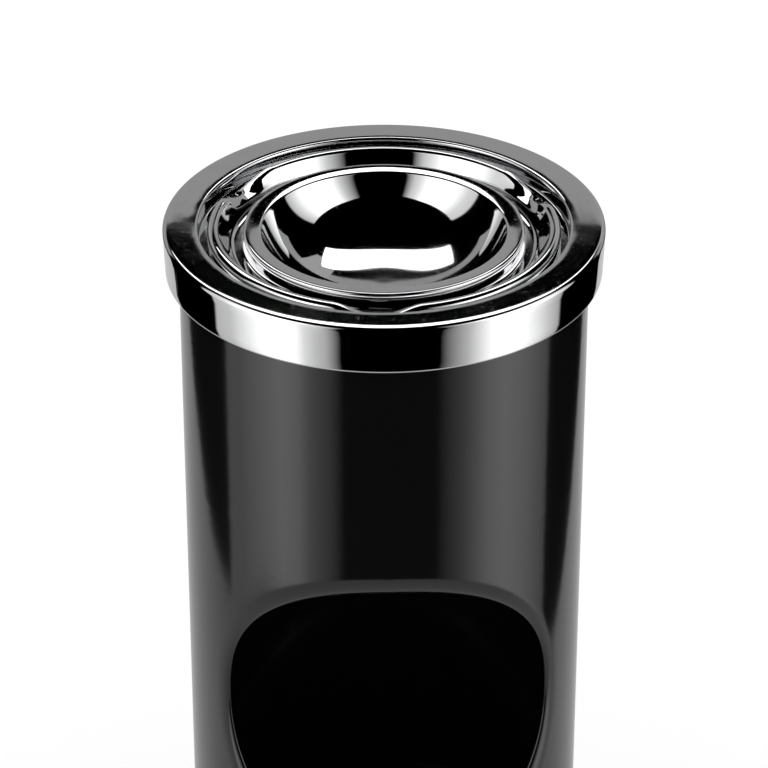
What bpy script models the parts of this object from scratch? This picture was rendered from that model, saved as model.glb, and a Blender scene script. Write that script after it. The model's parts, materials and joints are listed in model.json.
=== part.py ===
import math

import bmesh
import bpy
from mathutils import Matrix, Vector

# Overall sizes, in metres. The frame's origin is the floor under the middle of the bin.
OVERALL_HEIGHT = 0.600
BODY_RADIUS = 0.1024

# Steel thicknesses, and the clearance that pieces in contact keep.
BODY_WALL = 0.0010
CHROME_WALL = 0.0010
PAN_WALL = 0.0010
LINER_WALL = 0.0008
GAP = 0.0003

# Floor ring: a rubber channel that the tube's lower edge stands in.
RING_BASE = 0.0030
RING_LEG = 0.0022
RING_HEIGHT = 0.0110
RING_CHAMFER = 0.0008

# Base pan, inside the tube above the ring's inner leg.
PAN_RIM_HEIGHT = 0.0180
PAN_FILLET = 0.0040
PAN_ABOVE_RING = 0.0010
BASE_RIVET_COUNT = 6
BASE_RIVET_RADIUS = 0.0020
BASE_RIVET_HEAD = 0.0040
BASE_RIVET_DOME = 0.0012

# Front opening: a rounded square, measured across the front and down from the bin's top.
OPENING_WIDTH = 0.1610
OPENING_HEIGHT = 0.1700
OPENING_BELOW_TOP = 0.1570
OPENING_ROUNDNESS = 2.3
OPENING_LIP_DEPTH = 0.0060

# Collar: a skirt outside the tube, a flat top, and a step down to the ledge for the tray.
COLLAR_OVERHANG = 0.0076
COLLAR_DEPTH = 0.0248
COLLAR_SKIRT_TAPER = 0.0010
COLLAR_EDGE_FILLET = 0.0020
COLLAR_NECK_INSET = 0.0089
COLLAR_STEP = 0.0085
COLLAR_STEP_FILLET = 0.0015
COLLAR_HEM = 0.0060

# Spring clips between the collar's neck and the tube.
CLIP_COUNT = 4
CLIP_WIDTH = 0.0140
CLIP_THICKNESS = 0.0006
CLIP_LENGTH = 0.0260

# Ash tray: a rolled lip on the collar's ledge, a trough, and an upturned rim round its hole.
TRAY_LIP_HEIGHT = 0.0070
TRAY_CLEARANCE = 0.0045
TRAY_SEAT_CLEARANCE = 0.0010
TRAY_LIP_WIDTH = 0.0065
TRAY_TROUGH_DEPTH = 0.0115
TRAY_TROUGH_WIDTH = 0.0078
TRAY_WALL_SLOPE = 60.0
TRAY_TROUGH_FILLET = 0.0016
REST_COUNT = 3
REST_START_ANGLE = -94.0
REST_DEPTH = 0.0055
REST_WIDTH_ANGLE = 16.0

# Ash bowl: a shallow dish hung by its bead on the rim of the tray's hole.
BOWL_DEPTH = 0.0297
BOWL_DISH_SHARE = 0.76
BOWL_RIM_WIDTH = 0.0086
BOWL_BEAD_DROP = 0.0030
BOWL_BEAD_CLEARANCE = 0.0005
BOWL_EDGE_RADIUS = 0.0010
BOWL_BELOW_TOP = 0.0032

# Liner bucket, its base and its bail.
LINER_LIP_CLEARANCE = 0.0020
LINER_HEIGHT = 0.1700
LINER_CURL = 0.0020
LINER_BASE_RISE = 0.0060
LINER_FLANGE = 0.0050
LINER_FILLET = 0.0020
EAR_WIDTH = 0.0140
EAR_THICKNESS = 0.0012
EAR_BELOW_RIM = 0.0240
EAR_ABOVE_PIVOT = 0.0060
EAR_RIVET_RADIUS = 0.0016
EAR_RIVET_HEAD = 0.0030
EAR_RIVET_DOME = 0.0008
BAIL_WIRE = 0.0020
BAIL_PIVOT_PLAY = 0.0003
BAIL_STUB = 0.0022

# Facets round the turned pieces.
SHELL_FACETS = 48
LINER_FACETS = 32
RIVET_FACETS = 8
OPENING_FACETS = 56

# Heights and radii that follow from the sizes above.
TUBE_BOTTOM = RING_BASE + GAP
TUBE_TOP = OVERALL_HEIGHT - CHROME_WALL - GAP
TUBE_INNER = BODY_RADIUS - BODY_WALL
PAN_RADIUS = TUBE_INNER - GAP
PAN_FLOOR = RING_HEIGHT + PAN_ABOVE_RING
LINER_BOTTOM = PAN_FLOOR + PAN_WALL + GAP
LINER_TOP = LINER_BOTTOM + LINER_HEIGHT
LINER_RADIUS = TUBE_INNER - OPENING_LIP_DEPTH - LINER_LIP_CLEARANCE - 2 * LINER_CURL
LINER_INNER = LINER_RADIUS - LINER_WALL
COLLAR_RADIUS = BODY_RADIUS + COLLAR_OVERHANG
COLLAR_NECK_RADIUS = TUBE_INNER - COLLAR_NECK_INSET
LEDGE_TOP = OVERALL_HEIGHT - COLLAR_STEP
TRAY_RADIUS = COLLAR_NECK_RADIUS - TRAY_CLEARANCE
TRAY_BOTTOM_EDGE = LEDGE_TOP + GAP
TRAY_TOP = TRAY_BOTTOM_EDGE + TRAY_LIP_HEIGHT
TRAY_ROLL = TRAY_LIP_WIDTH / 2
TRAY_TROUGH = TRAY_TOP - TRAY_TROUGH_DEPTH
BEAD_TOP = OVERALL_HEIGHT - BOWL_BELOW_TOP
PIVOT_HEIGHT = LINER_TOP + GAP + BAIL_WIRE


def clear_scene():
    for old in list(bpy.data.objects):
        bpy.data.objects.remove(old, do_unlink=True)


def new_collection(name):
    collection = bpy.data.collections.new(name)
    bpy.context.scene.collection.children.link(collection)
    return collection


def material(name, colour, roughness, metallic):
    made = bpy.data.materials.new(name)
    made.use_nodes = True
    shader = made.node_tree.nodes["Principled BSDF"]
    shader.inputs["Base Color"].default_value = (*colour, 1.0)
    shader.inputs["Roughness"].default_value = roughness
    shader.inputs["Metallic"].default_value = metallic
    return made


def add_object(name, mesh, collection, finish=None):
    made = bpy.data.objects.new(name, mesh)
    collection.objects.link(made)
    if finish:
        mesh.materials.append(finish)
    return made


def arc(centre_r, centre_z, radius, start, end, steps):
    """Points on a circle in the (radius, height) plane, angles in degrees."""
    points = []
    for step in range(steps + 1):
        angle = math.radians(start + (end - start) * step / steps)
        points.append((centre_r + radius * math.cos(angle), centre_z + radius * math.sin(angle)))
    return points


def profile_mesh(name, points, closed):
    """A (radius, height) outline at +X, as edges for a Screw modifier."""
    mesh = bpy.data.meshes.new(name)
    verts = [(r, 0.0, z) for r, z in points]
    edges = [(i, i + 1) for i in range(len(points) - 1)]
    if closed:
        edges.append((len(points) - 1, 0))
    mesh.from_pydata(verts, edges, [])
    return mesh


def turn(made, facets):
    screw = made.modifiers.new("turn", "SCREW")
    screw.axis = "Z"
    screw.angle = math.tau
    screw.steps = facets
    screw.render_steps = facets
    screw.use_merge_vertices = True
    screw.merge_threshold = 0.00005


def thicken(made, thickness, offset):
    wall = made.modifiers.new("wall", "SOLIDIFY")
    wall.thickness = thickness
    wall.offset = offset
    wall.use_even_offset = True


def settle(made):
    """Turns an object's modifiers into its own mesh, shaded smooth with crisp corners."""
    evaluated = made.evaluated_get(bpy.context.evaluated_depsgraph_get())
    mesh = bpy.data.meshes.new_from_object(evaluated)
    mesh.name = made.name
    made.modifiers.clear()
    made.data = mesh
    mesh.shade_smooth()
    mesh.set_sharp_from_angle(angle=math.radians(40.0))
    return made


def turned_ring(name, points, facets, collection, finish):
    """A closed outline turned into a solid ring."""
    made = add_object(name, profile_mesh(name, points, True), collection, finish)
    turn(made, facets)
    return settle(made)


def turned_sheet(name, points, thickness, offset, facets, collection, finish):
    """An open outline turned into a surface and given the sheet's thickness."""
    made = add_object(name, profile_mesh(name, points, False), collection, finish)
    turn(made, facets)
    thicken(made, thickness, offset)
    return settle(made)


def boolean(target, tool, operation):
    cut = target.modifiers.new(operation.lower(), "BOOLEAN")
    cut.operation = operation
    cut.solver = "EXACT"
    cut.object = tool


def hide_tool(tool):
    tool.hide_render = True
    tool.display_type = "WIRE"


def cylinder(name, radius, length, facets, centre, axis, collection, finish=None):
    """A capped cylinder with its middle at centre and its length along axis."""
    mesh = bpy.data.meshes.new(name)
    form = bmesh.new()
    bmesh.ops.create_cone(form, cap_ends=True, segments=facets, radius1=radius, radius2=radius, depth=length)
    turned = Vector((0, 0, 1)).rotation_difference(Vector(axis)).to_matrix().to_4x4()
    form.transform(Matrix.Translation(Vector(centre)) @ turned)
    form.to_mesh(mesh)
    form.free()
    return add_object(name, mesh, collection, finish)


def join_tools(name, pieces, collection):
    """Separate cutters gathered into one object."""
    form = bmesh.new()
    for piece in pieces:
        form.from_mesh(piece.data)
        bpy.data.objects.remove(piece, do_unlink=True)
    mesh = bpy.data.meshes.new(name)
    form.to_mesh(mesh)
    form.free()
    return add_object(name, mesh, collection)


def opening_outline(margin):
    """The rounded square |x/a|^n + |z/b|^n = 1 of the front opening, grown by margin."""
    half_width = OPENING_WIDTH / 2 + margin
    half_height = OPENING_HEIGHT / 2 + margin
    centre = OVERALL_HEIGHT - OPENING_BELOW_TOP - OPENING_HEIGHT / 2
    power = 2.0 / OPENING_ROUNDNESS
    points = []
    steps = OPENING_FACETS
    for step in range(steps):
        angle = math.tau * step / steps
        c = math.cos(angle)
        s = math.sin(angle)
        x = half_width * math.copysign(abs(c) ** power, c)
        z = half_height * math.copysign(abs(s) ** power, s)
        points.append((x, z + centre))
    return points


def front_prism(name, outlines, collection):
    """Flat outlines across the front, extruded from outside the tube to near its middle."""
    curve = bpy.data.curves.new(name, "CURVE")
    curve.dimensions = "2D"
    curve.fill_mode = "BOTH"
    curve.extrude = BODY_RADIUS / 2
    for outline in outlines:
        spline = curve.splines.new("POLY")
        spline.points.add(len(outline) - 1)
        for point, (x, z) in zip(spline.points, outline):
            point.co = (x, z, 0.0, 1.0)
        spline.use_cyclic_u = True
    flat = bpy.data.objects.new(name, curve)
    collection.objects.link(flat)
    flat.rotation_euler.x = math.radians(90.0)
    flat.location.y = -BODY_RADIUS * 0.75
    bpy.context.view_layer.update()
    mesh = bpy.data.meshes.new_from_object(flat.evaluated_get(bpy.context.evaluated_depsgraph_get()))
    form = bmesh.new()
    form.from_mesh(mesh)
    bmesh.ops.remove_doubles(form, verts=form.verts, dist=0.00001)
    form.transform(flat.matrix_world)
    bmesh.ops.recalc_face_normals(form, faces=form.faces)
    form.to_mesh(mesh)
    form.free()
    bpy.data.objects.remove(flat, do_unlink=True)
    return add_object(name, mesh, collection)


def around(count, start):
    """Equally spaced angles round the bin, in radians; 0 is +X and the front is at -90 degrees."""
    return [math.radians(start + 360.0 * i / count) for i in range(count)]


def rivet_holes(name, radius, height, angles, reach, collection):
    holes = []
    for angle in angles:
        out = Vector((math.cos(angle), math.sin(angle), 0.0))
        centre = out * reach + Vector((0.0, 0.0, height))
        holes.append(cylinder(name, radius, 0.02, 12, centre, out, collection))
    return join_tools(name, holes, collection)


def make_rivet(name, shank, head, dome, outside, inside, height, angle, collection, finish):
    """One rivet on a radial line: a domed head outside the wall, and a flat closing head inside."""
    outer = outside + GAP
    inner = inside - GAP
    points = [(0.0, outer + dome)]
    points += [(head * 0.7, outer + dome * 0.75), (head, outer), (shank, outer)]
    points += [(shank, inner), (head * 0.8, inner), (head * 0.8, inner - dome * 0.6), (0.0, inner - dome * 0.6)]
    made = add_object(name, profile_mesh(name, points, False), collection, finish)
    turn(made, RIVET_FACETS)
    settle(made)
    out = Vector((math.cos(angle), math.sin(angle), 0.0))
    turned = Vector((0, 0, 1)).rotation_difference(out).to_matrix().to_4x4()
    made.data.transform(Matrix.Translation(Vector((0.0, 0.0, height))) @ turned)
    return made


def make_body_shell(parts, tools, finish):
    """The rolled tube, its front opening, and the lip turned in round the opening."""
    outline = [(BODY_RADIUS, TUBE_TOP), (BODY_RADIUS, TUBE_BOTTOM)]
    outline += [(TUBE_INNER, TUBE_BOTTOM), (TUBE_INNER, TUBE_TOP)]
    shell = turned_ring("body_shell", outline, SHELL_FACETS, parts, finish)

    hole = front_prism("opening_cutter", [opening_outline(0.0)], tools)
    lip_inner = TUBE_INNER - OPENING_LIP_DEPTH
    lip_outer = BODY_RADIUS - BODY_WALL / 2
    lip_outline = [(lip_outer, TUBE_TOP), (lip_outer, TUBE_BOTTOM)]
    lip_outline += [(lip_inner, TUBE_BOTTOM), (lip_inner, TUBE_TOP)]
    lip = turned_ring("lip_band", lip_outline, SHELL_FACETS, tools, None)
    band = front_prism("lip_outline", [opening_outline(BODY_WALL), opening_outline(0.0)], tools)
    boolean(lip, band, "INTERSECT")
    settle(lip)

    boolean(shell, hole, "DIFFERENCE")
    boolean(shell, lip, "UNION")
    holes = rivet_holes("base_rivet_holes", BASE_RIVET_RADIUS + GAP, base_rivet_height(),
                        base_rivet_angles(), BODY_RADIUS, tools)
    boolean(shell, holes, "DIFFERENCE")
    for tool in (hole, lip, band, holes):
        hide_tool(tool)
    return settle(shell)


def base_rivet_height():
    return PAN_FLOOR + PAN_FILLET + (PAN_RIM_HEIGHT - PAN_FILLET) / 2


def base_rivet_angles():
    return around(BASE_RIVET_COUNT, 0.0)


def make_base_pan(parts, tools, finish):
    """The pressed bottom: a flat disc with its rim turned up inside the tube."""
    rim_top = PAN_FLOOR + PAN_RIM_HEIGHT
    points = [(PAN_RADIUS, rim_top)]
    points += arc(PAN_RADIUS - PAN_FILLET, PAN_FLOOR + PAN_FILLET, PAN_FILLET, 0.0, -90.0, 3)
    points += [(0.0, PAN_FLOOR)]
    pan = turned_sheet("base_pan", points, PAN_WALL, -1.0, SHELL_FACETS, parts, finish)
    holes = bpy.data.objects["base_rivet_holes"]
    boolean(pan, holes, "DIFFERENCE")
    return settle(pan)


def make_base_rivets(parts, finish):
    for number, angle in enumerate(base_rivet_angles(), start=1):
        make_rivet("base_rivet_" + str(number), BASE_RIVET_RADIUS, BASE_RIVET_HEAD, BASE_RIVET_DOME,
                   BODY_RADIUS, PAN_RADIUS - PAN_WALL, base_rivet_height(), angle, parts, finish)


def make_floor_ring(parts, finish):
    """The rubber channel: an outer leg, a foot and an inner leg, with the outer corners eased."""
    outer = BODY_RADIUS + GAP + RING_LEG
    inner = TUBE_INNER - GAP - RING_LEG
    points = [(outer - RING_CHAMFER, RING_HEIGHT), (outer, RING_HEIGHT - RING_CHAMFER)]
    points += [(outer, RING_CHAMFER), (outer - RING_CHAMFER, 0.0)]
    points += [(inner + RING_CHAMFER, 0.0), (inner, RING_CHAMFER)]
    points += [(inner, RING_HEIGHT), (TUBE_INNER - GAP, RING_HEIGHT), (TUBE_INNER - GAP, RING_BASE)]
    points += [(BODY_RADIUS + GAP, RING_BASE), (BODY_RADIUS + GAP, RING_HEIGHT)]
    return turned_ring("floor_ring", points, SHELL_FACETS, parts, finish)


def make_collar(parts, finish):
    """The chromed ring: a tapered skirt, a flat top, a step down, a ledge and a turned-down hem."""
    top = OVERALL_HEIGHT
    points = [(COLLAR_RADIUS - COLLAR_SKIRT_TAPER, top - COLLAR_DEPTH)]
    points += arc(COLLAR_RADIUS - COLLAR_EDGE_FILLET, top - COLLAR_EDGE_FILLET, COLLAR_EDGE_FILLET, 0.0, 90.0, 3)
    step = COLLAR_STEP_FILLET
    points += arc(COLLAR_NECK_RADIUS + step, top - step, step, 90.0, 180.0, 2)
    ledge_inner = tray_wall_radius(LEDGE_TOP) + tray_wall_width() + TRAY_SEAT_CLEARANCE
    points += [(COLLAR_NECK_RADIUS, LEDGE_TOP)]
    points += arc(ledge_inner + step, LEDGE_TOP - step, step, 90.0, 180.0, 2)
    points += [(ledge_inner, LEDGE_TOP - COLLAR_HEM)]
    return turned_sheet("collar", points, CHROME_WALL, 1.0, SHELL_FACETS, parts, finish)


def flat_inside(radius, width, facets):
    """How far out the outer face of a flat strip of this width fits inside a faceted round wall."""
    reach = radius * math.cos(math.pi / facets) - GAP
    return math.sqrt(reach ** 2 - (width / 2) ** 2)


def make_collar_clips(parts, finish):
    """Spring strips: a leg on the collar's neck, a bend, and a bowed leg against the tube."""
    inner = COLLAR_NECK_RADIUS + CHROME_WALL + GAP + CLIP_THICKNESS / 2
    outer = flat_inside(TUBE_INNER, CLIP_WIDTH, SHELL_FACETS) - CLIP_THICKNESS / 2
    top = OVERALL_HEIGHT - CHROME_WALL - GAP - CLIP_THICKNESS
    bend = (outer - inner) * 0.35
    side = [(inner, top), (inner, top - CLIP_LENGTH)]
    side += arc(inner + bend, top - CLIP_LENGTH, bend, 180.0, 360.0, 6)[1:]
    side += [(outer, top - CLIP_LENGTH * 0.6), (outer, top - CLIP_LENGTH * 0.4)]
    side += [(outer - bend * 0.5, top - CLIP_LENGTH * 0.15)]
    clips = []
    for number, angle in enumerate(around(CLIP_COUNT, 45.0), start=1):
        name = "collar_clip_" + str(number)
        mesh = bpy.data.meshes.new(name)
        verts = [(r, -CLIP_WIDTH / 2, z) for r, z in side] + [(r, CLIP_WIDTH / 2, z) for r, z in side]
        count = len(side)
        faces = [(i, i + 1, count + i + 1, count + i) for i in range(count - 1)]
        mesh.from_pydata(verts, [], faces)
        clip = add_object(name, mesh, parts, finish)
        thicken(clip, CLIP_THICKNESS, 0.0)
        clip.rotation_euler.z = angle
        clips.append(clip)
    return clips


def tray_lip_arc():
    """The rolled lip's upper face, from its outer side over the top to the slope of the trough."""
    end = 90.0 + TRAY_WALL_SLOPE
    return arc(TRAY_RADIUS - TRAY_ROLL, TRAY_TOP - TRAY_ROLL, TRAY_ROLL, 0.0, end, 4)


def tray_wall_radius(height):
    """Radius of the sloping wall's upper face at a height."""
    wall_r, wall_z = tray_lip_arc()[-1]
    return wall_r - (wall_z - height) / math.tan(math.radians(TRAY_WALL_SLOPE))


def tray_wall_width():
    """How far the sloping wall reaches sideways through its thickness."""
    return CHROME_WALL / math.sin(math.radians(TRAY_WALL_SLOPE))


def tray_hole_radius():
    """Outer face of the upturned rim round the tray's hole."""
    return tray_wall_radius(TRAY_TROUGH) - TRAY_TROUGH_WIDTH


def bead_radius():
    """Outer face of the bowl's bead, which laps the tray's upturned rim."""
    return tray_hole_radius() + BOWL_BEAD_CLEARANCE + CHROME_WALL


def bowl_radius():
    """Inner face of the bowl at its mouth, inside its flat rim."""
    return bead_radius() - BOWL_RIM_WIDTH


def bowl_rise(share):
    """Height over the bowl's middle at a share of its radius: a cubic dish and a steeper side."""
    dish = BOWL_DISH_SHARE * share ** 3
    side = (1.0 - BOWL_DISH_SHARE) * share ** 9
    return BOWL_DEPTH * (dish + side)


def tray_profile():
    """The tray's upper face from the lip's outer edge to the rim of its hole."""
    trough = TRAY_TROUGH
    fillet = TRAY_TROUGH_FILLET
    hole = tray_hole_radius()
    foot = tray_wall_radius(trough)
    points = [(TRAY_RADIUS, TRAY_BOTTOM_EDGE)]
    points += tray_lip_arc()
    points += [(tray_wall_radius(trough + fillet), trough + fillet), (foot - fillet, trough)]
    points += [(hole + fillet, trough), (hole, trough + fillet)]
    points += [(hole, BEAD_TOP - CHROME_WALL - GAP)]
    return points


def press_rests(mesh):
    """Presses the cigarette rests: smooth channels across the lip and the trough's wall."""
    half = math.radians(REST_WIDTH_ANGLE)
    middle = TRAY_RADIUS - TRAY_ROLL
    lowest = TRAY_BOTTOM_EDGE + CHROME_WALL * 1.5
    for vert in mesh.vertices:
        r = math.hypot(vert.co.x, vert.co.y)
        angle = math.atan2(vert.co.y, vert.co.x)
        across = min(abs(math.remainder(angle - rest, math.tau)) for rest in around(REST_COUNT, REST_START_ANGLE))
        if across >= half:
            continue
        dip = 0.5 + 0.5 * math.cos(math.pi * across / half)
        along = max(0.0, 1.0 - abs(r - middle) / (TRAY_LIP_WIDTH * 1.2))
        vert.co.z = max(vert.co.z - REST_DEPTH * dip * along, min(vert.co.z, lowest))


def make_ash_tray(parts, finish):
    """The chromed pressing with the trough, the three rests and the hole for the bowl."""
    tray = add_object("ash_tray", profile_mesh("ash_tray", tray_profile(), False), parts, finish)
    turn(tray, SHELL_FACETS)
    settle(tray)
    press_rests(tray.data)
    thicken(tray, CHROME_WALL, 1.0)
    return settle(tray)


def make_ash_bowl(parts, finish):
    """The dished cup: a bead that laps the tray's rim, a flat rim, then the bowl down to its middle."""
    edge = BOWL_EDGE_RADIUS
    mouth = bowl_radius()
    bead = bead_radius()
    points = [(bead, BEAD_TOP - BOWL_BEAD_DROP), (bead, BEAD_TOP - edge)]
    points += [(bead - edge, BEAD_TOP), (mouth + edge / 2, BEAD_TOP)]
    for share in (0.99, 0.95, 0.90, 0.83, 0.73, 0.60, 0.45, 0.30, 0.15, 0.0):
        points.append((mouth * share, BEAD_TOP - BOWL_DEPTH + bowl_rise(share)))
    return turned_sheet("ash_bowl", points, CHROME_WALL, 1.0, SHELL_FACETS, parts, finish)


def make_liner_bucket(parts, tools, finish):
    """The straight bucket wall with its rim curled outwards."""
    curl = LINER_CURL
    centre_r = LINER_RADIUS - LINER_WALL / 2 + curl
    points = [(LINER_RADIUS - LINER_WALL / 2, LINER_BOTTOM)]
    points += arc(centre_r, LINER_TOP - curl - LINER_WALL / 2, curl, 180.0, -60.0, 6)
    bucket = turned_sheet("liner_bucket", points, LINER_WALL, 0.0, LINER_FACETS, parts, finish)
    holes = []
    for x, z in ear_rivet_places():
        centre = (x * LINER_RADIUS, 0.0, z)
        holes.append(cylinder("ear_hole", EAR_RIVET_RADIUS + GAP, 0.02, 12, centre, (1, 0, 0), tools))
    cutter = join_tools("ear_rivet_holes", holes, tools)
    hide_tool(cutter)
    boolean(bucket, cutter, "DIFFERENCE")
    return settle(bucket)


def make_liner_base(parts, finish):
    """The disc that closes the bucket, with a flange turned down inside the wall."""
    radius = LINER_INNER - GAP
    height = LINER_BOTTOM + LINER_BASE_RISE
    points = [(radius, height - LINER_FLANGE)]
    points += arc(radius - LINER_FILLET, height - LINER_FILLET, LINER_FILLET, 0.0, 90.0, 3)
    points += [(0.0, height)]
    return turned_sheet("liner_base", points, LINER_WALL, 1.0, LINER_FACETS, parts, finish)


def ear_rivet_places():
    """Side (+1 or -1) and height of each ear rivet."""
    places = []
    for side in (-1, 1):
        for drop in (0.3, 0.75):
            places.append((side, LINER_TOP - EAR_BELOW_RIM * drop))
    return places


def make_bail_ears(parts, tools, finish):
    """Flat strips inside the bucket's wall, with an eye above the rim for the bail."""
    outside = flat_inside(LINER_INNER, EAR_WIDTH, LINER_FACETS)
    low = LINER_TOP - EAR_BELOW_RIM
    high = PIVOT_HEIGHT + EAR_ABOVE_PIVOT
    cutter = bpy.data.objects["ear_rivet_holes"]
    ears = []
    for side, name in ((-1, "bail_ear_left"), (1, "bail_ear_right")):
        mesh = bpy.data.meshes.new(name)
        form = bmesh.new()
        bmesh.ops.create_cube(form, size=1.0)
        size = Matrix.Diagonal((EAR_THICKNESS, EAR_WIDTH, high - low, 1.0))
        middle = Vector((side * (outside - EAR_THICKNESS / 2), 0.0, (high + low) / 2))
        form.transform(Matrix.Translation(middle) @ size)
        upright = [e for e in form.edges if abs(e.verts[0].co.y - e.verts[1].co.y) < 1e-6
                   and abs(e.verts[0].co.z - e.verts[1].co.z) < 1e-6]
        bmesh.ops.bevel(form, geom=upright, offset=EAR_WIDTH * 0.42, segments=5, affect="EDGES", profile=0.5)
        form.to_mesh(mesh)
        form.free()
        ear = add_object(name, mesh, parts, finish)
        eye = cylinder(name + "_eye", BAIL_WIRE + BAIL_PIVOT_PLAY, 0.02, 16,
                       (side * outside, 0.0, PIVOT_HEIGHT), (1, 0, 0), tools)
        hide_tool(eye)
        boolean(ear, eye, "DIFFERENCE")
        boolean(ear, cutter, "DIFFERENCE")
        ears.append(settle(ear))
    return ears, outside


def make_ear_rivets(parts, finish, ear_face):
    for number, (side, height) in enumerate(ear_rivet_places(), start=1):
        angle = 0.0 if side > 0 else math.pi
        make_rivet("ear_rivet_" + str(number), EAR_RIVET_RADIUS, EAR_RIVET_HEAD, EAR_RIVET_DOME,
                   LINER_RADIUS, ear_face - EAR_THICKNESS, height, angle, parts, finish)


def make_bail(parts, finish, ear_face):
    """The wire handle, lying back on the rim: a half oval with its ends turned out through the ears."""
    stub_end = ear_face + BAIL_STUB
    elbow = ear_face - EAR_THICKNESS - BAIL_WIRE - 0.0012
    reach = LINER_RADIUS + LINER_CURL
    corner = 0.0060
    route = [(stub_end, 0.0), (elbow + corner * 0.3, 0.0)]
    route += [(elbow - corner * 0.12, corner * 0.35)]
    steps = 28
    for step in range(3, steps - 2):
        angle = math.pi * step / steps
        route.append((elbow * math.cos(angle), reach * math.sin(angle)))
    route += [(-elbow + corner * 0.12, corner * 0.35)]
    route += [(-elbow - corner * 0.3, 0.0), (-stub_end, 0.0)]
    curve = bpy.data.curves.new("bail_handle", "CURVE")
    curve.dimensions = "3D"
    curve.bevel_depth = BAIL_WIRE
    curve.bevel_resolution = 2
    curve.use_fill_caps = True
    spline = curve.splines.new("POLY")
    spline.points.add(len(route) - 1)
    for point, (x, y) in zip(spline.points, route):
        point.co = (x, y, 0.0, 1.0)
    bail = bpy.data.objects.new("bail_handle", curve)
    parts.objects.link(bail)
    bail.location.z = PIVOT_HEIGHT
    curve.materials.append(finish)
    return bail


def main():
    clear_scene()
    parts = new_collection("ash_and_litter_bin")
    tools = new_collection("cutters")
    paint = material("black_paint", (0.006, 0.006, 0.007), 0.12, 0.0)
    chrome = material("chrome", (0.66, 0.67, 0.68), 0.05, 1.0)
    zinc = material("galvanised", (0.55, 0.57, 0.58), 0.42, 1.0)
    spring = material("spring_steel", (0.30, 0.31, 0.33), 0.35, 1.0)
    rubber = material("black_rubber", (0.02, 0.02, 0.02), 0.75, 0.0)

    make_body_shell(parts, tools, paint)
    make_base_pan(parts, tools, paint)
    make_base_rivets(parts, paint)
    make_floor_ring(parts, rubber)
    make_collar(parts, chrome)
    make_collar_clips(parts, spring)
    make_ash_tray(parts, chrome)
    make_ash_bowl(parts, chrome)
    make_liner_bucket(parts, tools, zinc)
    make_liner_base(parts, zinc)
    ears, ear_face = make_bail_ears(parts, tools, zinc)
    make_ear_rivets(parts, zinc, ear_face)
    make_bail(parts, spring, ear_face)


main()
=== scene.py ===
import json
import math

import bmesh
import bpy
import numpy as np
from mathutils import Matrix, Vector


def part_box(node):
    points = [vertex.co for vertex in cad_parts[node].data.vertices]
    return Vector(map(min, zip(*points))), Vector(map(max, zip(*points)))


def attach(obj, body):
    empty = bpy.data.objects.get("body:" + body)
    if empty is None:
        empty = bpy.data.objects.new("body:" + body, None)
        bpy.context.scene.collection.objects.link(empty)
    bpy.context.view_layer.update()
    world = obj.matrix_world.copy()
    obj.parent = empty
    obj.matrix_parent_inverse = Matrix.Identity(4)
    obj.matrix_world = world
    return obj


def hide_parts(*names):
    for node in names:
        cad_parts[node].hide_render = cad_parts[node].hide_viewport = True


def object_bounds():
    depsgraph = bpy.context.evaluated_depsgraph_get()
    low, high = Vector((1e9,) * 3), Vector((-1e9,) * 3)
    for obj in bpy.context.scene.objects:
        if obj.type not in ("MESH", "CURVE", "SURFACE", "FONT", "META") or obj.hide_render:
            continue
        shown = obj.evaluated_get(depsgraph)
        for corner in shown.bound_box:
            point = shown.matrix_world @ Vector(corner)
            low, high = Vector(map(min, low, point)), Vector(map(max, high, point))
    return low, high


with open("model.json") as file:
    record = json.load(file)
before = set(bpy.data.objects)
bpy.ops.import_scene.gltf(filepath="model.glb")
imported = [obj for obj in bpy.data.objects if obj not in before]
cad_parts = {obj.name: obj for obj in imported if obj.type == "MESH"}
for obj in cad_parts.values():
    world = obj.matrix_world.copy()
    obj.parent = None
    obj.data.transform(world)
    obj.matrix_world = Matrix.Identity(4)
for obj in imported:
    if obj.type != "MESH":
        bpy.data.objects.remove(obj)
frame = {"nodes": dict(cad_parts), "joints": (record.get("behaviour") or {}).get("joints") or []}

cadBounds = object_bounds()
cadNodes = frame["nodes"]
gap = 0.0003             # clearance that pieces in contact keep
print("frame loaded:", len(cadNodes), "nodes")


class Wire:
    # One output of a node. Arithmetic on it adds Math nodes.
    def __init__(self, finish, socket):
        self.finish = finish
        self.socket = socket

    def combine(self, operation, first, second):
        return self.finish.node("Math", {"operation": operation}, {0: first, 1: second})

    def __add__(self, other):
        return self.combine("ADD", self, other)

    def __radd__(self, other):
        return self.combine("ADD", other, self)

    def __mul__(self, other):
        return self.combine("MULTIPLY", self, other)

    def __rmul__(self, other):
        return self.combine("MULTIPLY", other, self)


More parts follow.
